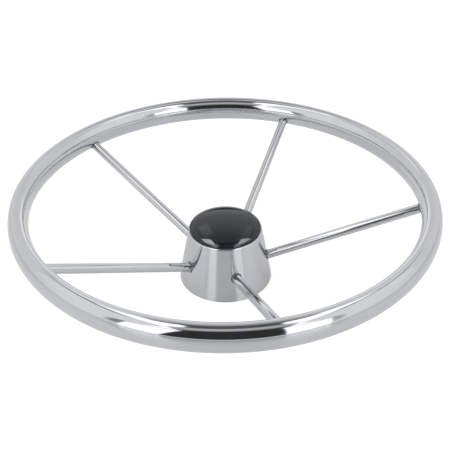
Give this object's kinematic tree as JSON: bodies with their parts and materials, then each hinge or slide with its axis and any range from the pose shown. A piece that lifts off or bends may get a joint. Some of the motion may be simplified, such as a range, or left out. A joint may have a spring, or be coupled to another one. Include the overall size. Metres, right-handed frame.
{
  "type": "boat steering wheel",
  "caption": "Stainless boat steering wheel: oval tube rim on round spokes that dish down to a conical hub, with a keyed tapered shaft bore and a black push-in centre cap.",
  "frame": {"origin": "centre of the hub's foot, on the plane that the wheel stands on", "axes": "+Z along the wheel's axis from the foot towards the cap and the helmsman; the first spoke lies 3.8 degrees clockwise of +X seen from above"},
  "size_m": [0.3939, 0.3939, 0.1047],
  "materials": {
    "mirror_stainless": "mirror polished stainless steel",
    "satin_stainless": "fine satin stainless steel",
    "cap_plastic": "high gloss black moulded plastic"
  },
  "bodies": {
    "wheel": {"rim_tube": "mirror_stainless", "spoke_1": "mirror_stainless", "spoke_2": "mirror_stainless", "spoke_3": "mirror_stainless", "spoke_4": "mirror_stainless", "spoke_5": "mirror_stainless", "hub_cone": "satin_stainless", "base_plate": "satin_stainless", "taper_boss": "satin_stainless", "boss_weld": "satin_stainless", "foot_weld": "satin_stainless", "rim_weld_1": "satin_stainless", "rim_weld_2": "satin_stainless", "rim_weld_3": "satin_stainless", "rim_weld_4": "satin_stainless", "rim_weld_5": "satin_stainless", "cone_weld_1": "satin_stainless", "cone_weld_2": "satin_stainless", "cone_weld_3": "satin_stainless", "cone_weld_4": "satin_stainless", "cone_weld_5": "satin_stainless"},
    "cap": {"centre_cap": "cap_plastic"}
  },
  "joints": [
    {"name": "cap_pull", "type": "slide", "parent": "wheel", "child": "cap", "axis": [0, 0, 1], "range_m": [0, 0.07]}
  ]
}
